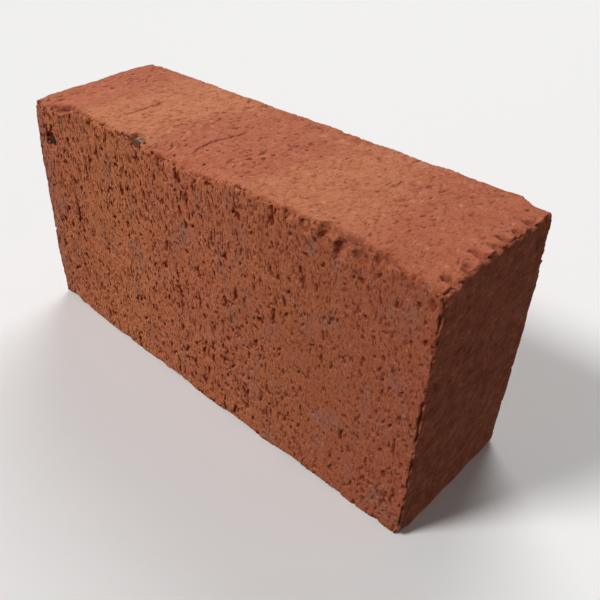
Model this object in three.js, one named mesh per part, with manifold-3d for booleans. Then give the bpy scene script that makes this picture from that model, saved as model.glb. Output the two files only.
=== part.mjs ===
// A solid wire-cut clay brick standing on one of its long narrow faces, as a three.js scene graph.
//
// X runs along the length, Y through the thickness and Z up the width. The origin is the centre of
// the face that the brick stands on. Two small stones sit in the clay, each in a socket of its own.

import * as THREE from 'three';
import { ImprovedNoise } from 'three/addons/math/ImprovedNoise.js';
import * as BufferGeometryUtils from 'three/addons/utils/BufferGeometryUtils.js';
import Module from 'manifold-3d';

const wasm = await Module();
wasm.setup();
const noise = new ImprovedNoise();

// Driving dimensions, in millimetres: the work size of a standard metric brick.
const LENGTH = 215;
const THICKNESS = 65;
const WIDTH = 102.5;

// The worn arrises: each face stays flat up to ARRIS_BORDER from its edges, and the edge itself is
// drawn in by ARRIS_WEAR on average, more and less in lumps about WEAR_PITCH long.
const ARRIS_BORDER = 4;
const ARRIS_WEAR = 0.9;
const ARRIS_WEAR_SPREAD = 0.7;
const ARRIS_WEAR_LEAST = 0.25;
const WEAR_PITCH = 9;
const ARRIS_STEP = 10;

// Corners knocked harder than the arrises: which way each lies from the centre, and the extra wear.
const WORN_CORNERS = [
  { toward: [-1, -1, 1], extra: 1.6 },
  { toward: [1, -1, -1], extra: 1.2 },
  { toward: [1, 1, 1], extra: 1.2 },
];
const CORNER_REACH = 26;

// Chips broken out of the arrises: where each is centred, and its half sizes.
const CHIPS = [
  { at: [73, -THICKNESS / 2, WIDTH], size: [11, 3.4, 3.0] },
  { at: [-84, -THICKNESS / 2, WIDTH], size: [12, 3.2, 3.2] },
  { at: [LENGTH / 2, -26, WIDTH], size: [6.5, 1.8, 2.4] },
  { at: [LENGTH / 2, -19, WIDTH], size: [4.4, 2.2, 2.0] },
  { at: [LENGTH / 2, -12, WIDTH], size: [6.2, 1.9, 2.4] },
  { at: [LENGTH / 2, -5, WIDTH], size: [4.2, 1.8, 2.2] },
  { at: [LENGTH / 2, 1, WIDTH], size: [5.6, 1.7, 2.0] },
  { at: [LENGTH / 2, 8, WIDTH], size: [3.4, 2.2, 1.6] },
  { at: [LENGTH / 2, 16, WIDTH], size: [5.4, 1.9, 2.2] },
  { at: [LENGTH / 2 - 1, THICKNESS / 2, WIDTH], size: [9, 4.0, 3.6] },
  { at: [-LENGTH / 2, -THICKNESS / 2, 90], size: [2.2, 2.6, 4.5] },
  { at: [58, -THICKNESS / 2, 0], size: [9, 2.2, 1.8] },
  { at: [-24, -THICKNESS / 2, 0], size: [5, 1.6, 1.4] },
];

// Stones in the clay: where each is centred, and its half sizes.
const ARRIS_STONE = { at: [-30.5, -29.6, 99.6], size: [4.6, 2.6, 2.4] };
const FACE_STONE = { at: [-94.5, -30.3, 86], size: [2.4, 2.0, 3.0] };
const SOCKET_GAP = 0.35;
const STONE_ROUGHNESS = 0.16;

const brickMaterial = new THREE.MeshStandardMaterial({ color: 0xa4623f, roughness: 0.93, metalness: 0 });
const arrisStoneMaterial = new THREE.MeshStandardMaterial({ color: 0x6e5a41, roughness: 0.7, metalness: 0 });
const faceStoneMaterial = new THREE.MeshStandardMaterial({ color: 0x44403b, roughness: 0.75, metalness: 0 });

// Positions of the grid lines across a side: one at each end, one a border in from it, and even steps
// no longer than ARRIS_STEP between.
function gridLines(side) {
  const inner = side - 2 * ARRIS_BORDER;
  const steps = Math.ceil(inner / ARRIS_STEP);
  const lines = [-side / 2];
  for (let i = 0; i <= steps; i += 1) {
    lines.push(-inner / 2 + (inner * i) / steps);
  }
  lines.push(side / 2);
  return lines;
}

// Only the positions are kept, with shared vertices merged, so that the mesh closes.
function closedGeometry(geometry) {
  geometry.deleteAttribute('normal');
  geometry.deleteAttribute('uv');
  return BufferGeometryUtils.mergeVertices(geometry);
}

function toSolid(geometry) {
  const vertProperties = new Float32Array(geometry.attributes.position.array);
  const triVerts = new Uint32Array(geometry.index.array);
  return new wasm.Manifold(new wasm.Mesh({ numProp: 3, vertProperties, triVerts }));
}

function toGeometry(solid) {
  const mesh = solid.getMesh();
  const geometry = new THREE.BufferGeometry();
  geometry.setAttribute('position', new THREE.BufferAttribute(mesh.vertProperties, 3));
  geometry.setIndex(new THREE.BufferAttribute(mesh.triVerts, 1));
  geometry.computeVertexNormals();
  return geometry;
}

// How far an edge point is drawn in: lumpy along the arris, and deeper near the worn corners.
function wearAt(point) {
  const [u, v, w] = point.toArray().map((value) => value / WEAR_PITCH);
  const swell = noise.noise(u + 7.3, v + 2.1, w + 4.7);
  let wear = Math.max(ARRIS_WEAR_LEAST, ARRIS_WEAR + ARRIS_WEAR_SPREAD * swell);
  for (const { toward, extra } of WORN_CORNERS) {
    const [x, y, z] = toward;
    const corner = new THREE.Vector3((x * LENGTH) / 2, (y * THICKNESS) / 2, (z * WIDTH) / 2);
    const near = Math.max(0, 1 - corner.distanceTo(point) / CORNER_REACH);
    wear += extra * near;
  }
  return wear;
}

// The block, with flat faces and drawn-in edges, centred on the origin.
function wornBlock() {
  const lines = [gridLines(LENGTH), gridLines(THICKNESS), gridLines(WIDTH)];
  const cells = lines.map((list) => list.length - 1);
  const geometry = closedGeometry(new THREE.BoxGeometry(...cells, ...cells));
  const position = geometry.attributes.position;
  for (let i = 0; i < position.count; i += 1) {
    const grid = [position.getX(i), position.getY(i), position.getZ(i)];
    const index = grid.map((value, axis) => Math.round(value + cells[axis] / 2));
    const point = new THREE.Vector3(...index.map((step, axis) => lines[axis][step]));
    const ends = index.map((step, axis) => step === 0 || step === cells[axis]);
    if (ends.filter(Boolean).length >= 2) {
      const wear = wearAt(point);
      point.x -= ends[0] ? Math.sign(point.x) * wear : 0;
      point.y -= ends[1] ? Math.sign(point.y) * wear : 0;
      point.z -= ends[2] ? Math.sign(point.z) * wear : 0;
    }
    position.setXYZ(i, point.x, point.y, point.z);
  }
  geometry.translate(0, 0, WIDTH / 2);
  return geometry;
}

// A rough lump: a faceted ball stretched to its half sizes, each point pushed in or out a little.
function lump({ at, size }, detail, grow = 0) {
  const geometry = closedGeometry(new THREE.IcosahedronGeometry(1, detail));
  const position = geometry.attributes.position;
  const half = size.map((value) => value + grow);
  for (let i = 0; i < position.count; i += 1) {
    const way = new THREE.Vector3().fromBufferAttribute(position, i);
    const bump = noise.noise(way.x * 1.7 + at[0], way.y * 1.7 + at[1], way.z * 1.7 + at[2]);
    const reach = 1 + STONE_ROUGHNESS * bump;
    position.setXYZ(i, way.x * reach * half[0], way.y * reach * half[1], way.z * reach * half[2]);
  }
  return geometry.translate(...at);
}

function makeBrickBody() {
  let solid = toSolid(wornBlock());
  for (const chip of CHIPS) {
    solid = solid.subtract(toSolid(lump(chip, 1)));
  }
  for (const stone of [ARRIS_STONE, FACE_STONE]) {
    solid = solid.subtract(toSolid(lump(stone, 2, SOCKET_GAP)));
  }
  return new THREE.Mesh(toGeometry(solid), brickMaterial);
}

function makeStone(stone, material) {
  const geometry = lump(stone, 2);
  geometry.computeVertexNormals();
  return new THREE.Mesh(geometry, material);
}

function named(mesh, name) {
  mesh.name = name;
  return mesh;
}

const group = new THREE.Group();
group.add(named(makeBrickBody(), 'brick_body'));
group.add(named(makeStone(ARRIS_STONE, arrisStoneMaterial), 'arris_stone'));
group.add(named(makeStone(FACE_STONE, faceStoneMaterial), 'face_stone'));

export default group;
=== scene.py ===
"""Looks of a solid wire-cut clay brick standing on one of its long narrow faces.

The clay skin is one dense mesh, worked out in numpy from a box lattice: rounded and chipped arrises,
drag marks and tears on the two wire-cut bed faces, and smoother skin on the other four. Lengths inside
the shape functions are in millimetres, and become metres when a mesh is made.
"""

import math

import bmesh
import bpy
import numpy as np
from mathutils import Matrix, Vector


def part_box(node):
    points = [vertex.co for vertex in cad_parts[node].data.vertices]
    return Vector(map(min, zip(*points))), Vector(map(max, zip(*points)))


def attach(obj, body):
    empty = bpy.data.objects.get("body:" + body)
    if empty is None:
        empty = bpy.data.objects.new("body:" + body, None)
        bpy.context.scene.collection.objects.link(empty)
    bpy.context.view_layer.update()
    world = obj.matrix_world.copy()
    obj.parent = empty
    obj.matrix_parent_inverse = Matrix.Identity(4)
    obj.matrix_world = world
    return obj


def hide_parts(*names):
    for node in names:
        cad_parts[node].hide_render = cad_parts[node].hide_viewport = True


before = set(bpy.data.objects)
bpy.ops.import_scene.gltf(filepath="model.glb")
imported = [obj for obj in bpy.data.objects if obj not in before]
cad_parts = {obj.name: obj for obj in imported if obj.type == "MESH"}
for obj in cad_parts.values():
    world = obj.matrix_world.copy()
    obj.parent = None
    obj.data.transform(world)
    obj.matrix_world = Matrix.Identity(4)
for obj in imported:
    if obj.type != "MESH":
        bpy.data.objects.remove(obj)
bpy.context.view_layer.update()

MM = 0.001
BODY_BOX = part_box("brick_body")
LOW = np.array(BODY_BOX[0]) / MM
HIGH = np.array(BODY_BOX[1]) / MM
CENTRE = (LOW + HIGH) / 2
HALF = (HIGH - LOW) / 2
LENGTH, THICKNESS, WIDTH = 2 * HALF

# Spacing of the skin's lattice along the length, the thickness and the width.
LATTICE_PITCH = (0.4, 0.5, 0.5)

# The arrises: least and most radius of the worn edge, and the length of its lumps.
ARRIS_RADIUS = (0.5, 1.7)
ARRIS_LUMP = 9.0

# How far drying and firing moved the faces: the top along each long arris, with a crown at mid-length.
TOP_LIFT_BACK = 2.3
TOP_LIFT_FRONT = 2.1
TOP_CROWN_BACK = 0.55
TOP_TILT_BACK = -0.2
BACK_BULGE = 0.8
FRONT_BULGE = 1.4

# Long worn dips in the front top arris: middle, half length, depth, and how far each reaches to the back.
FRONT_DIPS = ((-110, 36, 4.2, 62), (-7, 32, 2.9, 17), (110, 32, 2.8, 24))

# Bites out of the arrises: where each is centred, and its half sizes.
CHIPS = (
    # Two long ones in the front top arris.
    ((73, -THICKNESS / 2, WIDTH), (11, 3.4, 3.0)),
    ((-84, -THICKNESS / 2, WIDTH), (12, 3.2, 3.2)),
    # A row of teeth along the top arris of the right end.
    ((LENGTH / 2, -26, WIDTH), (6.5, 1.8, 2.4)),
    ((LENGTH / 2, -19, WIDTH), (4.4, 2.2, 2.0)),
    ((LENGTH / 2, -12, WIDTH), (6.2, 1.9, 2.4)),
    ((LENGTH / 2, -5, WIDTH), (4.2, 1.8, 2.2)),
    ((LENGTH / 2, 1, WIDTH), (5.6, 1.7, 2.0)),
    ((LENGTH / 2, 8, WIDTH), (3.4, 2.2, 1.6)),
    ((LENGTH / 2, 16, WIDTH), (5.4, 1.9, 2.2)),
    # The back right corner, then the left front corners from the top down.
    ((LENGTH / 2, THICKNESS / 2, WIDTH), (13, 4.4, 4.6)),
    ((LENGTH / 2, THICKNESS / 2, WIDTH - 8), (1.8, 3.5, 16)),
    ((-LENGTH / 2, -THICKNESS / 2, WIDTH), (1.9, 9, 24)),
    ((-LENGTH / 2, -THICKNESS / 2, 90), (2.2, 2.6, 4.5)),
    ((-LENGTH / 2, -THICKNESS / 2, 2), (1.9, 8, 16)),
    # The front lower arris.
    ((58, -THICKNESS / 2, 0), (9, 2.2, 1.8)),
    ((-24, -THICKNESS / 2, 0), (5, 1.6, 1.4)),
    ((LENGTH / 2, -THICKNESS / 2 + 1, 0), (1.7, 5, 2.2)),
    # A ragged row in the front top arris.
    ((50, -THICKNESS / 2, WIDTH), (3.6, 2.2, 2.6)),
    ((57, -THICKNESS / 2, WIDTH - 1), (2.8, 1.9, 3.6)),
    ((64, -THICKNESS / 2, WIDTH - 1), (2.4, 3.8, 4.2)),
    ((71, -THICKNESS / 2, WIDTH - 4), (2.8, 2.2, 4.4)),
    ((79, -THICKNESS / 2, WIDTH - 3), (3.2, 2.2, 3.8)),
    ((87, -THICKNESS / 2, WIDTH), (4.4, 2.6, 2.6)),
    # Small ones at the lower left front corner.
    ((-96, -THICKNESS / 2, 0), (6, 2.0, 2.2)),
    ((-LENGTH / 2, -THICKNESS / 2, 8), (2.4, 2.4, 4.0)),
)

# Hairline cracks across the top face: where each starts and ends.
TOP_CRACKS = (((-8, -24), (-7, 7)), ((-53, -21), (-57, 6)))

# Depth of the deepest tears in the wire-cut faces and pits in the other four, and spacing of the bands.
TEAR_DEPTH = 0.9
PIT_DEPTH = 0.55
BAND_SPACING = 100

# The socket round each stone: its half sizes as multiples of the stone's, and its centre from the stone's.
STONE_SOCKETS = {
    "arris_stone": ((1.2, 1.3, 0.85), (-0.7, -0.3, 1.4)),
    "face_stone": ((1.8, 1.5, 1.5), (-0.8, -1.4, 0.0)),
}

# Noise seeds of the first chip and the first socket; the next ones count up from them.
CHIP_SEED = 91
SOCKET_SEED = 105


# Repeatable noise

AXIS_KEYS = np.array([[0x8DA6B343], [0xD8163841], [0xCB1AB31F]], np.uint32)


def scrambled(key):
    """Numbers from 0 to 1 worked out from whole-number keys, the same on every run."""
    key = (key ^ (key >> np.uint32(15))) * np.uint32(0x2C1B3C6D)
    key = (key ^ (key >> np.uint32(12))) * np.uint32(0x297A2D39)
    key = key ^ (key >> np.uint32(15))
    return key * np.float32(2.0**-32)


def seed_key(seed):
    return np.uint32(seed * 2654435761 % 2**32)


def noise(points, size, seed):
    """Smooth noise from -1 to 1.

    size is the length of a lump, one number or one for each axis. Another seed gives other lumps.
    """
    size = np.broadcast_to(np.array(size, np.float32), 3)
    scaled = (points / size + seed * 3.7).T.astype(np.float32)
    base = np.floor(scaled)
    part = scaled - base
    ease = part * part * (3 - 2 * part)
    near = base.astype(np.int32).astype(np.uint32) * AXIS_KEYS
    keys = (near, near + AXIS_KEYS)
    weights = (1 - ease, ease)
    total = np.zeros(len(points), np.float32)
    for i, j, k in np.ndindex(2, 2, 2):
        value = scrambled(keys[i][0] ^ keys[j][1] ^ keys[k][2] ^ seed_key(seed))
        total += weights[i][0] * weights[j][1] * weights[k][2] * value
    return 2 * total - 1


def fractal(points, size, seed, octaves=3):
    """Noise with finer lumps added, each octave half the size and half the height."""
    total = np.zeros(len(points), np.float32)
    height = 1.0
    for octave in range(octaves):
        total += height * noise(points, np.array(size) / 2**octave, seed + 31 * octave)
        height /= 2
    return total / (2 - 2 * height)


def dents(along, across, pitch, reach, share, seed):
    """Scattered oval dents on a plane: 1 in the middle of a dent, 0 outside.

    pitch is the spacing and reach the half size, each along then across. share is the part of the cells
    that hold a dent.
    """
    u = (along / pitch[0]).astype(np.float32)
    v = (across / pitch[1]).astype(np.float32)
    deepest = np.zeros(len(u), np.float32)
    for step_u, step_v in np.ndindex(3, 3):
        cell_u = np.floor(u) + step_u - 1
        cell_v = np.floor(v) + step_v - 1
        place = cell_u.astype(np.int32).astype(np.uint32) * AXIS_KEYS[0]
        place = place ^ cell_v.astype(np.int32).astype(np.uint32) * AXIS_KEYS[1]
        chance = [scrambled(place ^ seed_key(seed + number)) for number in range(4)]
        scale = 0.55 + 0.9 * chance[2] ** 2
        gap_u = (u - cell_u - chance[0]) * pitch[0] / (reach[0] * scale)
        gap_v = (v - cell_v - chance[1]) * pitch[1] / (reach[1] * scale)
        dent = np.clip(1 - gap_u**2 - gap_v**2, 0, 1) * (chance[3] < share)
        deepest = np.maximum(deepest, dent)
    return deepest


def ramp(value, start, end):
    """0 at start, 1 at end, smooth between."""
    part = np.clip((value - start) / (end - start), 0, 1)
    return part * part * (3 - 2 * part)


# The clay skin

def box_lattice():
    """Whole-number grid places on the skin of a box, its outward quads, and the side each quad is on."""
    counts = np.maximum(1, np.round(2 * HALF / LATTICE_PITCH)).astype(int)
    on_skin = np.zeros(counts + 1, bool)
    for axis in range(3):
        np.moveaxis(on_skin, axis, 0)[[0, -1]] = True
    number = np.cumsum(on_skin).reshape(on_skin.shape) - 1
    quads = []
    sides = []
    for axis in range(3):
        for end in (0, 1):
            sheet = np.take(number, -end, axis=axis)
            corners = (sheet[:-1, :-1], sheet[1:, :-1], sheet[1:, 1:], sheet[:-1, 1:])
            quad = np.stack(corners, axis=-1).reshape(-1, 4)
            faces_out = (end == 1) != (axis == 1)
            quads.append(quad if faces_out else quad[:, ::-1])
            sides.append(np.full(len(quad), 2 * axis + end))
    return np.argwhere(on_skin) / counts, np.concatenate(quads), np.concatenate(sides)


def round_arrises(flat):
    """Moves points of the box, centred on the origin, onto a box with worn round edges."""
    least, most = ARRIS_RADIUS
    wear = ramp(fractal(flat, ARRIS_LUMP, 5), -0.5, 0.7)
    radius = (least + (most - least) * wear)[:, None]
    # The front top arris is rounder, most at the left end.
    front_top = ramp(-flat[:, 1], 20, 32) * ramp(flat[:, 2], 38, 51)
    left_end = ramp(-flat[:, 0], 30, 100)
    radius = radius + (front_top * (0.6 + 2.0 * left_end))[:, None]
    core = np.clip(flat, radius - HALF, HALF - radius)
    away = flat - core
    outward = away / np.linalg.norm(away, axis=1, keepdims=True)
    return core + outward * radius, outward


def press_in(points, outward, centre, half, roughness, seed):
    """Pushes the points that lie inside a rough ellipsoid back onto its far side."""
    size = np.array(half, float) * (1 + roughness * fractal(points, min(half), seed))[:, None]
    place = (points - np.array(centre)) / size
    way = outward / size
    inside = np.einsum("ij,ij->i", place, place) < 1
    forward = np.einsum("ij,ij->i", place, way)
    span = np.einsum("ij,ij->i", way, way)
    room = np.einsum("ij,ij->i", place, place) - 1
    depth = (forward + np.sqrt(np.maximum(forward**2 - span * room, 0))) / span
    return points - outward * np.where(inside, depth, 0)[:, None]


def wire_cut_relief(p):
    """Drag marks, tears and pits of a wire-cut face: (height in millimetres, how torn from 0 to 1).

    The tears crowd in patches, under the top arris and low down, and thin out high on the right.
    """
    bent = p.copy()
    bent[:, 0] += 0.06 * p[:, 2] + 0.5 * noise(p, 3, 41)
    bent[:, 2] += 1.5 * noise(p, 4, 42)
    crowd = ramp(fractal(p, (18, 18, 24), 43), -0.3, 0.4)
    crowd *= 1 - 0.75 * ramp(p[:, 0], 20, 55) * ramp(p[:, 2], 28, 46)
    crowd = np.maximum(crowd, ramp(p[:, 2], WIDTH - 9, WIDTH - 2))
    crowd = np.maximum(crowd, 0.9 * ramp(p[:, 2], 44, 22))
    fine = ramp(-fractal(bent, (1.1, 2, 2.3), 44, 2), 0.30 - 0.10 * crowd, 0.52)
    tears = ramp(-fractal(bent, (1.9, 4, 4.5), 48), 0.40 - 0.14 * crowd, 0.62)
    holes = dents(bent[:, 0], bent[:, 2], (5.5, 8.0), (0.6, 1.5), 0.45 * crowd, 52)
    torn = np.maximum(np.maximum(0.8 * fine, tears), holes)
    drag = noise(p, (0.9, 3, 6), 56)
    grain = fractal(p, (1.2, 1.2, 2.4), 57)
    swell = fractal(p, (24, 24, 18), 58)
    height = -TEAR_DEPTH * torn + 0.06 * drag + 0.08 * grain + 0.25 * swell
    return height, torn


def die_skin_relief(p, outward):
    """Smooth extruded skin with flecks, pits and cracks: (height in millimetres, how torn from 0 to 1).

    girth runs round the block and across from bed face to bed face. The flecks crowd at the left end.
    """
    on_end = outward[:, 0] ** 2 > outward[:, 2] ** 2
    girth = np.where(on_end, p[:, 2] * np.sign(p[:, 0]), p[:, 0] * np.sign(p[:, 2] - WIDTH / 2))
    girth = girth + 0.8 * noise(p, 4, 61)
    across = p[:, 1] + 0.8 * noise(p, 4, 60)
    crowd = ramp(fractal(p, (18, 26, 26), 62), -0.2, 0.5)
    crowd = np.maximum(crowd, ramp(p[:, 0], -72, -92))
    pits = dents(girth, across, (4.5, 6.0), (0.65, 1.0), 0.06 + 0.20 * crowd, 67)
    pits = pits * (0.5 + 0.5 * ramp(noise(p, 0.9, 68), -0.6, 0.3))
    flecks = ramp(-fractal(p, (1.0, 2.2, 1.0), 74, 2), 0.40 - 0.16 * crowd, 0.60)
    scuffs = ramp(-fractal(p, (2.4, 4.5, 2.4), 79), 0.36 - 0.10 * crowd, 0.7)
    torn = np.maximum(np.maximum(0.8 * flecks, pits), np.maximum(0.5 * scuffs, top_cracks(p, outward)))
    grain = fractal(p, (1.6, 2.4, 1.6), 71)
    swell = fractal(p, (20, 30, 30), 72)
    height = -PIT_DEPTH * torn + 0.10 * grain + 0.22 * swell
    return height, torn


def firing_bands(p):
    """Pinkish bands across the length, with wandering edges: 0 for orange clay, 1 for pink."""
    wave = np.cos(2 * math.pi * (p[:, 0] + 9 * fractal(p, (24, 40, 40), 88)) / BAND_SPACING)
    return ramp(wave + 0.8 * fractal(p, (14, 22, 22), 89), -0.8, 0.6)


def top_cracks(p, outward):
    """Ragged hairline cracks in the top face, 1 in the middle of a crack."""
    wander = np.stack([2.0 * fractal(p, 7, 75) + 0.7 * noise(p, 1.8, 76), 0.8 * noise(p, 3, 77)], axis=1)
    place = p[:, :2] + wander
    deepest = np.zeros(len(p))
    for start, end in TOP_CRACKS:
        way = np.subtract(end, start)
        span = np.linalg.norm(way)
        gap = place - start
        along = gap @ way / span**2
        aside = np.abs(gap[:, 0] * way[1] - gap[:, 1] * way[0]) / span
        taper = ramp(along, -0.05, 0.15) * (1 - ramp(along, 0.7, 1.05))
        deepest = np.maximum(deepest, taper * (1 - ramp(aside, 0.2, 0.8)))
    patchy = 0.5 + 0.5 * ramp(noise(p, (1.4, 1.8, 2), 78), -0.5, 0.3)
    return deepest * patchy * (outward[:, 2] > 0.9)


def arris_crumble(p, outward):
    """Small breaks along the arrises: (depth in millimetres, how broken from 0 to 1)."""
    second = np.sort(np.abs(outward), axis=1)[:, 1]
    edge = ramp(second, 0.05, 0.55)
    break_size = ramp(fractal(p, 4.2, 81), 0.05, 0.6) + 0.7 * ramp(fractal(p, 1.8, 82), 0.0, 0.7)
    upright = ramp(np.abs(outward[:, 0] * outward[:, 1]), 0, 0.35)
    lower = ramp(-outward[:, 2] * np.abs(outward[:, 1]), 0, 0.35)
    depth = (1.6 + 1.4 * upright + 1.1 * lower) * edge * break_size
    return depth, edge * np.minimum(break_size, 1)


def lean(points):
    """The slight warp of drying and firing."""
    height = points[:, 2] / WIDTH
    back = points[:, 1] / THICKNESS + 0.5
    crown = 1 - (2 * points[:, 0] / LENGTH) ** 2
    dips = np.zeros(len(points))
    for middle, half_length, depth, reach in FRONT_DIPS:
        lengthwise = 1 - ramp(np.abs(points[:, 0] - middle), 0.3 * half_length, half_length)
        dips += depth * lengthwise * (1 - ramp(back * THICKNESS, 0, reach))
    dips *= 1 + 0.25 * fractal(points, (12, 16, 40), 90)
    back_rise = TOP_LIFT_BACK + TOP_CROWN_BACK * crown + TOP_TILT_BACK * 2 * points[:, 0] / LENGTH
    moved = points.copy()
    moved[:, 2] += height * (back_rise * back + TOP_LIFT_FRONT * (1 - back) - dips)
    moved[:, 1] += BACK_BULGE * back - FRONT_BULGE * crown * (1 - height) * (1 - back)
    return moved


def stone_box(name):
    """Centre and half sizes of a stone, in millimetres."""
    low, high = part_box(name)
    return np.array(low + high) / 2 / MM, np.array(high - low) / 2 / MM


def clay_skin():
    """The brick's surface.

    Gives its points, its quads, the side of the box that each quad is on, the points' places on the plain
    box, and the values painted on the points.
    """
    share, quads, sides = box_lattice()
    flat = (2 * share - 1) * HALF
    points, outward = round_arrises(flat)
    points += CENTRE
    whole = points
    for number, (centre, half) in enumerate(CHIPS):
        points = press_in(points, outward, centre, half, 0.3, CHIP_SEED + number)
    # bitten, wire_cut, broken and torn all run from 0 to 1.
    bitten = ramp(np.linalg.norm(whole - points, axis=1), 0.1, 0.7)
    wire_height, wire_torn = wire_cut_relief(points)
    skin_height, skin_torn = die_skin_relief(points, outward)
    inward = HALF[1] - np.abs(points[:, 1] - CENTRE[1])
    reach = 0.9 + 1.5 * fractal(points, (1.5, 9, 1.5), 85)
    wire_cut = 1 - ramp(inward, reach - 0.2, reach + 0.4)
    depth, broken = arris_crumble(points, outward)
    broken = np.maximum(broken, bitten)
    crumbs = 0.65 * bitten * fractal(points, 2.2, 87)
    height = wire_cut * wire_height + (1 - wire_cut) * skin_height - depth + crumbs
    points = points + outward * height[:, None]
    for number, (name, (scale, shift)) in enumerate(STONE_SOCKETS.items()):
        centre, half = stone_box(name)
        points = press_in(points, outward, centre + shift, half * scale, 0.12, SOCKET_SEED + number)
    # torn sets how much painted shade goes into the tears, pits, flecks and cracks.
    torn = wire_cut * wire_torn + (1 - wire_cut) * skin_torn
    # Painted shade in the hollows of the bites, added to torn.
    chip_shade = 0.7 * bitten * ramp(fractal(points, (1.5, 2.0, 2.0), 97), -0.35, 0.25)
    torn = np.maximum(torn, chip_shade)
    painted = {"wire_cut": wire_cut, "torn": torn, "broken": broken, "band": firing_bands(points)}
    return lean(points), quads, sides, flat, painted


def lay_out_uv(mesh, quads, sides, flat):
    """A flat map of the six sides, side by side in one square, for whoever paints or bakes the brick."""
    gap = 4.0
    wide, deep, tall = 2 * HALF
    spots = {
        2: (0, 0), 3: (0, tall + gap),
        4: (0, 2 * (tall + gap)), 5: (0, 2 * (tall + gap) + deep + gap),
        0: (wide + gap, 0), 1: (wide + gap, tall + gap),
    }
    span = max(wide + gap + deep, 2 * (tall + deep) + 3 * gap) + 2 * gap
    corners = (flat + HALF)[quads]
    uv = np.zeros((len(quads), 4, 2))
    for side, spot in spots.items():
        axis = side // 2
        kept = [other for other in range(3) if other != axis]
        uv[sides == side] = corners[sides == side][:, :, kept] + spot
    layer = mesh.uv_layers.new(name="OFBake")
    layer.data.foreach_set("uv", ((uv + gap) / span).astype(np.float32).ravel())


def mesh_from(name, points, quads):
    """A smooth-shaded mesh from points in millimetres."""
    mesh = bpy.data.meshes.new(name)
    mesh.vertices.add(len(points))
    mesh.vertices.foreach_set("co", (points * MM).astype(np.float32).ravel())
    mesh.loops.add(quads.size)
    mesh.loops.foreach_set("vertex_index", quads.astype(np.int32).ravel())
    mesh.polygons.add(len(quads))
    mesh.polygons.foreach_set("loop_start", np.arange(0, quads.size, 4, dtype=np.int32))
    mesh.update(calc_edges=True)
    mesh.shade_smooth()
    return mesh


def make_clay():
    points, quads, sides, flat, painted = clay_skin()
    mesh = mesh_from("clay_skin", points, quads)
    lay_out_uv(mesh, quads, sides, flat)
    for name, values in painted.items():
        attribute = mesh.attributes.new(name, "FLOAT", "POINT")
        attribute.data.foreach_set("value", values.astype(np.float32))
    clay = bpy.data.objects.new("clay_skin", mesh)
    bpy.context.scene.collection.objects.link(clay)
    mesh.materials.append(clay_material())
    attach(clay, "root")
    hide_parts("brick_body")


# Materials

def linear(red, green, blue):
    """A shader colour from 0 to 255 display values."""
    def one(value):
        share = value / 255
        return share / 12.92 if share <= 0.04045 else ((share + 0.055) / 1.055) ** 2.4
    return one(red), one(green), one(blue), 1.0


def new_material(name):
    material = bpy.data.materials.new(name)
    material.use_nodes = True
    tree = material.node_tree
    tree.nodes.clear()
    output = tree.nodes.new("ShaderNodeOutputMaterial")
    shader = tree.nodes.new("ShaderNodeBsdfPrincipled")
    tree.links.new(shader.outputs["BSDF"], output.inputs["Surface"])
    return material, tree, shader


def add(tree, kind, settings=None, **inputs):
    """Adds a node, sets its settings, and sets or links its inputs (underscores stand for spaces)."""
    node = tree.nodes.new("ShaderNode" + kind)
    for name, value in (settings or {}).items():
        setattr(node, name, value)
    for name, value in inputs.items():
        socket = node.inputs[name.replace("_", " ")]
        if isinstance(value, bpy.types.NodeSocket):
            tree.links.new(value, socket)
        else:
            socket.default_value = value
    return node


def stretched(tree, sizes):
    """Object coordinates in which one unit is the given length along each axis, in millimetres."""
    place = add(tree, "TexCoord").outputs["Object"]
    scale = tuple(1 / (size * MM) for size in sizes)
    return add(tree, "Mapping", Vector=place, Scale=scale).outputs["Vector"]


def noise_node(tree, sizes, detail=3.0, roughness=0.55):
    """Noise from 0 to 1 with lumps of the given lengths, in millimetres."""
    return add(tree, "TexNoise", Vector=stretched(tree, sizes), Scale=1.0, Detail=detail,
               Roughness=roughness).outputs["Fac"]


def stepped(tree, value, start, end, low=0.0, high=1.0):
    """low below start, high above end, smooth between."""
    node = add(tree, "MapRange", {"interpolation_type": "SMOOTHSTEP"}, Value=value,
               From_Min=start, From_Max=end, To_Min=low, To_Max=high)
    return node.outputs["Result"]


def times(tree, first, second):
    node = add(tree, "Math", {"operation": "MULTIPLY"})
    for socket, value in zip(node.inputs, (first, second)):
        if isinstance(value, bpy.types.NodeSocket):
            tree.links.new(value, socket)
        else:
            socket.default_value = value
    return node.outputs["Value"]


def blended(tree, share, first, second):
    """The two colours mixed by share."""
    share_in, first_in, second_in, colour_out = 0, 6, 7, 2
    node = tree.nodes.new("ShaderNodeMix")
    node.data_type = "RGBA"
    for number, value in ((share_in, share), (first_in, first), (second_in, second)):
        if isinstance(value, bpy.types.NodeSocket):
            tree.links.new(value, node.inputs[number])
        else:
            node.inputs[number].default_value = value
    return node.outputs[colour_out]


def painted_value(tree, name):
    return add(tree, "Attribute", {"attribute_name": name}).outputs["Fac"]


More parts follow.
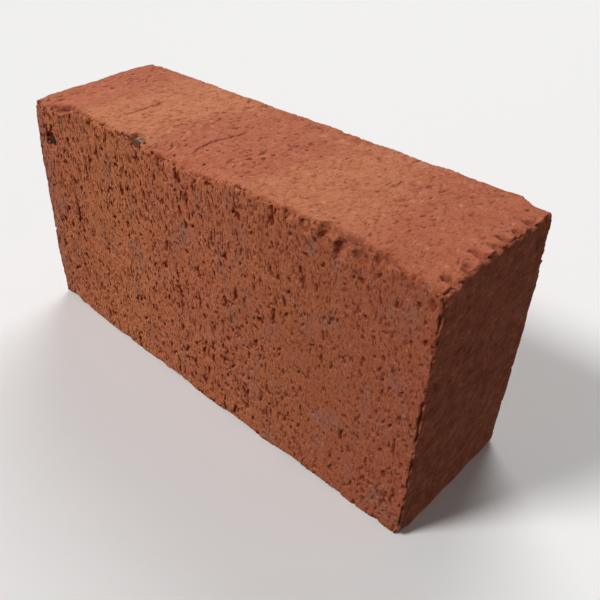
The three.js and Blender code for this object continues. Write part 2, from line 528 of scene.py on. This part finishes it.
# The far end, hair, pore and tear colours are painted shade, not the clay's own.
CLAY = {
    "skin_orange": linear(202, 130, 94),
    "skin_pink": linear(187, 110, 82),
    "cut_orange": linear(214, 130, 86),
    "cut_pink": linear(214, 127, 88),
    # Painted shade: the clay darker towards the right end.
    "far_end_shade": linear(152, 80, 60),
    "blotch": linear(170, 92, 58),
    "dust": linear(164, 116, 100),
    "smoke": linear(92, 36, 26),
    "bare": linear(226, 142, 112),
    "dark_grain": linear(122, 48, 22),
    "light_grain": linear(228, 160, 120),
    "mottle": linear(144, 68, 42),
    "pale": linear(222, 152, 118),
    # Painted shade in fine hairline pits of the skin.
    "hair_shade": linear(118, 44, 20),
    # Painted shade in fine pores of the wire-cut faces.
    "pore": linear(92, 14, 0),
    # Painted shade in the tears, pits, flecks and cracks, and in the hollows of the bites.
    "tear_shade": linear(98, 20, 4),
    "break": linear(190, 112, 86),
    "speck": linear(214, 160, 134),
}


def along_length(tree):
    """How far along the length, from the middle, in metres."""
    place = add(tree, "TexCoord").outputs["Object"]
    return add(tree, "SeparateXYZ", Vector=place).outputs["X"]


def length_share(share):
    """A distance in metres from a share of the brick's length."""
    return share * LENGTH * MM


def banded_clay_with_end_shade(tree, wire_cut, along):
    """Orange clay in pinkish bands, browner in blotches, with painted shade darker towards the right end.
    """
    band = painted_value(tree, "band")
    skin = blended(tree, band, CLAY["skin_orange"], CLAY["skin_pink"])
    cut = blended(tree, band, CLAY["cut_orange"], CLAY["cut_pink"])
    base = blended(tree, wire_cut, skin, cut)
    # Painted shade, darker towards the right end, more on the wire-cut faces than on the skin.
    far_end_shade = stepped(tree, along, length_share(-0.25), length_share(0.5))
    darkening = times(tree, far_end_shade, stepped(tree, wire_cut, 0.0, 1.0, 0.36, 0.66))
    base = blended(tree, darkening, base, CLAY["far_end_shade"])
    blotch = stepped(tree, noise_node(tree, (9, 9, 13), 4.0), 0.35, 0.68)
    return blended(tree, times(tree, blotch, 0.35), base, CLAY["blotch"])


def dusted(tree, base, wire_cut, along):
    """Grey-lilac dust in patches on the wire-cut faces, and all down their left ends."""
    dust = stepped(tree, noise_node(tree, (8, 8, 20), 5.0, 0.6), 0.51, 0.71)
    base = blended(tree, times(tree, times(tree, dust, wire_cut), 0.7), base, CLAY["dust"])
    worn_end = times(tree, stepped(tree, along, length_share(-0.43), length_share(-0.5)), wire_cut)
    return blended(tree, times(tree, worn_end, 0.6), base, CLAY["dust"])


def clouded(tree, base, along):
    """Smoky and bare clouds on the right end face."""
    on_end = stepped(tree, along, length_share(0.485), length_share(0.497))
    cloud = noise_node(tree, (5, 5, 5), 5.0, 0.62)
    smoky = stepped(tree, cloud, 0.50, 0.38)
    base = blended(tree, times(tree, times(tree, on_end, smoky), 0.4), base, CLAY["smoke"])
    bare = stepped(tree, cloud, 0.52, 0.66)
    return blended(tree, times(tree, times(tree, on_end, bare), 0.3), base, CLAY["bare"])


def grained(tree, base, wire_cut, calmer):
    """Dark and light grains, strongest on the wire-cut faces."""
    grain = noise_node(tree, (0.5, 0.5, 0.9), 2.0)
    strength = times(tree, stepped(tree, wire_cut, 0.0, 1.0, 0.45, 1.1), calmer)
    dark_grain = times(tree, stepped(tree, grain, 0.54, 0.36, 0.04, 0.34), strength)
    base = blended(tree, dark_grain, base, CLAY["dark_grain"])
    light_grain = times(tree, stepped(tree, grain, 0.52, 0.68, 0.0, 0.36), strength)
    return blended(tree, light_grain, base, CLAY["light_grain"])


def mottled_with_pit_shade(tree, base, wire_cut, calmer):
    """Dark mottling, pale patches, and painted shade of fine pits: hairlines on the skin, pores on the
    wire-cut faces.
    """
    mottle = stepped(tree, noise_node(tree, (1.8, 3.0, 1.8), 3.0), 0.50, 0.32)
    base = blended(tree, times(tree, mottle, 0.5), base, CLAY["mottle"])
    pale = stepped(tree, noise_node(tree, (2.6, 4.2, 2.6), 4.0), 0.56, 0.72)
    pale_skin = times(tree, pale, stepped(tree, wire_cut, 0.0, 1.0, 0.4, 0.15))
    base = blended(tree, pale_skin, base, CLAY["pale"])
    # Painted shade of fine hairline pits, on the skin only.
    hairs = stepped(tree, noise_node(tree, (0.6, 1.7, 0.6), 2.0), 0.42, 0.34)
    skin_hair_shade = times(tree, hairs, stepped(tree, wire_cut, 0.0, 1.0, 0.6, 0.0))
    base = blended(tree, skin_hair_shade, base, CLAY["hair_shade"])
    # Painted shade of fine pores, on the wire-cut faces, calmer towards the right end.
    pores = stepped(tree, noise_node(tree, (0.75, 0.75, 1.9), 2.0), 0.44, 0.36)
    return blended(tree, times(tree, times(tree, pores, wire_cut), calmer), base, CLAY["pore"])


def torn_and_broken(tree, base, wire_cut, along):
    """Painted shade in tears, pits, cracks and bite hollows, fainter to the right end, and slightly paler
    breaks.
    """
    depth = stepped(tree, wire_cut, 0.0, 1.0, 0.75, 0.95)
    # Painted shade, strongest where torn is highest and on the wire-cut faces.
    shade = times(tree, stepped(tree, painted_value(tree, "torn"), 0.05, 0.75), depth)
    shade = times(tree, shade, stepped(tree, along, 0.0, length_share(0.4), 1.0, 0.6))
    base = blended(tree, shade, base, CLAY["tear_shade"])
    return blended(tree, times(tree, painted_value(tree, "broken"), 0.12), base, CLAY["break"])


def clay_colour_with_shade(tree):
    """The clay's colour with its painted shade, from the banded clay at the bottom to the pale specks on
    top.
    """
    wire_cut = painted_value(tree, "wire_cut")
    along = along_length(tree)
    calmer = stepped(tree, along, length_share(-0.5), length_share(0.5), 1.3, 0.55)
    base = banded_clay_with_end_shade(tree, wire_cut, along)
    base = dusted(tree, base, wire_cut, along)
    base = clouded(tree, base, along)
    base = grained(tree, base, wire_cut, calmer)
    base = mottled_with_pit_shade(tree, base, wire_cut, calmer)
    base = torn_and_broken(tree, base, wire_cut, along)
    specks = stepped(tree, noise_node(tree, (1.1, 1.1, 1.1), 0.0), 0.80, 0.86)
    return blended(tree, times(tree, specks, 0.6), base, CLAY["speck"])


def clay_material():
    material, tree, shader = new_material("fired_clay")
    tree.links.new(clay_colour_with_shade(tree), shader.inputs["Base Color"])
    rough = stepped(tree, noise_node(tree, (3, 3, 5)), 0.3, 0.7, 0.86, 0.98)
    tree.links.new(rough, shader.inputs["Roughness"])
    shader.inputs["Specular IOR Level"].default_value = 0.12
    wire_cut = painted_value(tree, "wire_cut")
    drawn = noise_node(tree, (0.5, 0.5, 1.3), 4.0, 0.65)
    plain = noise_node(tree, (0.7, 0.7, 0.7), 4.0, 0.6)
    pore = blended(tree, wire_cut, plain, drawn)
    bump = add(tree, "Bump", Strength=0.55, Distance=0.35 * MM, Height=pore)
    tree.links.new(bump.outputs["Normal"], shader.inputs["Normal"])
    return material


def stone_material(name, body, pale):
    """A dull mottled stone, paler in its mottles, with painted light making the upper side paler."""
    material, tree, shader = new_material(name)
    upward = add(tree, "SeparateXYZ", Vector=add(tree, "NewGeometry").outputs["Normal"]).outputs["Z"]
    mottle = stepped(tree, noise_node(tree, (1.4, 1.4, 1.0), 4.0), 0.38, 0.60)
    # Painted light: the upward-facing side made paler, broken by the mottling.
    lit_top = times(tree, stepped(tree, upward, 0.8, 0.98), mottle)
    colour = blended(tree, times(tree, mottle, 0.12), body, pale)
    colour = blended(tree, times(tree, lit_top, 0.8), colour, pale)
    tree.links.new(colour, shader.inputs["Base Color"])
    rough = stepped(tree, mottle, 0.0, 1.0, 0.65, 0.85)
    tree.links.new(rough, shader.inputs["Roughness"])
    shader.inputs["Specular IOR Level"].default_value = 0.15
    pores = noise_node(tree, (0.5, 0.5, 0.5), 4.0)
    bump = add(tree, "Bump", Strength=0.5, Distance=0.2 * MM, Height=pores)
    tree.links.new(bump.outputs["Normal"], shader.inputs["Normal"])
    return material


# The stones

def make_stone(name, material, seed):
    """A pebble of the CAD stone's size: a fine ball, flattened in facets and dimpled."""
    centre, half = stone_box(name)
    mesh = bpy.data.meshes.new(name + "_pebble")
    ball = bmesh.new()
    bmesh.ops.create_icosphere(ball, subdivisions=5, radius=1)
    ball.to_mesh(mesh)
    ball.free()
    ways = np.zeros(len(mesh.vertices) * 3, np.float32)
    mesh.vertices.foreach_get("co", ways)
    ways = ways.reshape(-1, 3).astype(float)
    reach = 1 + 0.10 * noise(ways, 0.8, seed) + 0.04 * fractal(ways, 0.3, seed + 1)
    points = ways * np.minimum(reach, 1.06)[:, None] * half * 0.95 + centre
    mesh.vertices.foreach_set("co", (lean(points) * MM).astype(np.float32).ravel())
    mesh.shade_smooth()
    mesh.update()
    stone = bpy.data.objects.new(name + "_pebble", mesh)
    bpy.context.scene.collection.objects.link(stone)
    mesh.materials.append(material)
    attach(stone, "root")
    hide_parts(name)


# The studio

CAMERA_TARGET = Vector((27.85, 0, 45.1)) * MM
CAMERA_DISTANCE = 268.9 * MM
CAMERA_AZIMUTH = math.radians(-41.3)
CAMERA_ELEVATION = math.radians(34.2)
CAMERA_ROLL = math.radians(3.1)
CAMERA_LENS = 39.7

# In metres. The wall stands just inside the floor's rim.
FLOOR_RADIUS = 6
WALL_RADIUS = 5.5
WALL_HEIGHT = 8


def make_camera():
    level = math.cos(CAMERA_ELEVATION)
    forward = Vector((math.sin(CAMERA_AZIMUTH) * level, math.cos(CAMERA_AZIMUTH) * level,
                      -math.sin(CAMERA_ELEVATION)))
    camera = bpy.data.objects.new("camera", bpy.data.cameras.new("camera"))
    camera.data.lens = CAMERA_LENS
    camera.data.clip_start = 0.01
    turn = forward.to_track_quat("-Z", "Y").to_matrix().to_4x4()
    place = Matrix.Translation(CAMERA_TARGET - forward * CAMERA_DISTANCE)
    camera.matrix_world = place @ turn @ Matrix.Rotation(CAMERA_ROLL, 4, "Z")
    bpy.context.scene.collection.objects.link(camera)
    bpy.context.scene.camera = camera


def make_floor():
    """A wide pale disc under the brick."""
    mesh = bpy.data.meshes.new("floor")
    disc = bmesh.new()
    bmesh.ops.create_circle(disc, cap_ends=True, segments=96, radius=FLOOR_RADIUS)
    disc.to_mesh(mesh)
    disc.free()
    floor = bpy.data.objects.new("floor", mesh)
    bpy.context.scene.collection.objects.link(floor)
    material, _, shader = new_material("pale_floor")
    shader.inputs["Base Color"].default_value = (0.86, 0.86, 0.86, 1)
    shader.inputs["Roughness"].default_value = 0.9
    mesh.materials.append(material)
    floor.visible_diffuse = False


def make_backdrop():
    """A pale glowing wall round the floor, seen but lighting nothing."""
    mesh = bpy.data.meshes.new("backdrop")
    wall = bmesh.new()
    bmesh.ops.create_cone(wall, cap_ends=False, segments=96, radius1=WALL_RADIUS, radius2=WALL_RADIUS,
                          depth=WALL_HEIGHT)
    wall.to_mesh(mesh)
    wall.free()
    backdrop = bpy.data.objects.new("backdrop", mesh)
    bpy.context.scene.collection.objects.link(backdrop)
    material, _, shader = new_material("pale_backdrop")
    shader.inputs["Base Color"].default_value = (0, 0, 0, 1)
    shader.inputs["Emission Color"].default_value = (1, 1, 1, 1)
    shader.inputs["Emission Strength"].default_value = 0.8
    mesh.materials.append(material)
    backdrop.visible_diffuse = False
    backdrop.visible_glossy = False
    backdrop.visible_shadow = False


def add_sun(name, direction, energy, softness):
    light = bpy.data.lights.new(name, "SUN")
    light.energy = energy
    light.angle = math.radians(softness)
    sun = bpy.data.objects.new(name, light)
    sun.rotation_euler = Vector(direction).to_track_quat("-Z", "Y").to_euler()
    bpy.context.scene.collection.objects.link(sun)


def make_lights():
    """A soft key from the upper left front, a softer fill from the left back, and an even pale sky."""
    add_sun("key", (0.38, 0.61, -0.70), 2.3, 16)
    add_sun("fill", (0.45, -0.65, -0.60), 1.75, 40)
    world = bpy.data.worlds.new("studio")
    world.use_nodes = True
    world.node_tree.nodes["Background"].inputs["Color"].default_value = (1, 0.94, 0.9, 1)
    world.node_tree.nodes["Background"].inputs["Strength"].default_value = 0.165
    bpy.context.scene.world = world
    bpy.context.scene.view_settings.view_transform = "Standard"


make_camera()
make_floor()
make_backdrop()
make_lights()
make_clay()
olive = stone_material("olive_stone", linear(88, 50, 30), linear(184, 146, 116))
charcoal = stone_material("charcoal_stone", linear(50, 34, 24), linear(112, 86, 68))
make_stone("arris_stone", olive, seed=121)
make_stone("face_stone", charcoal, seed=131)
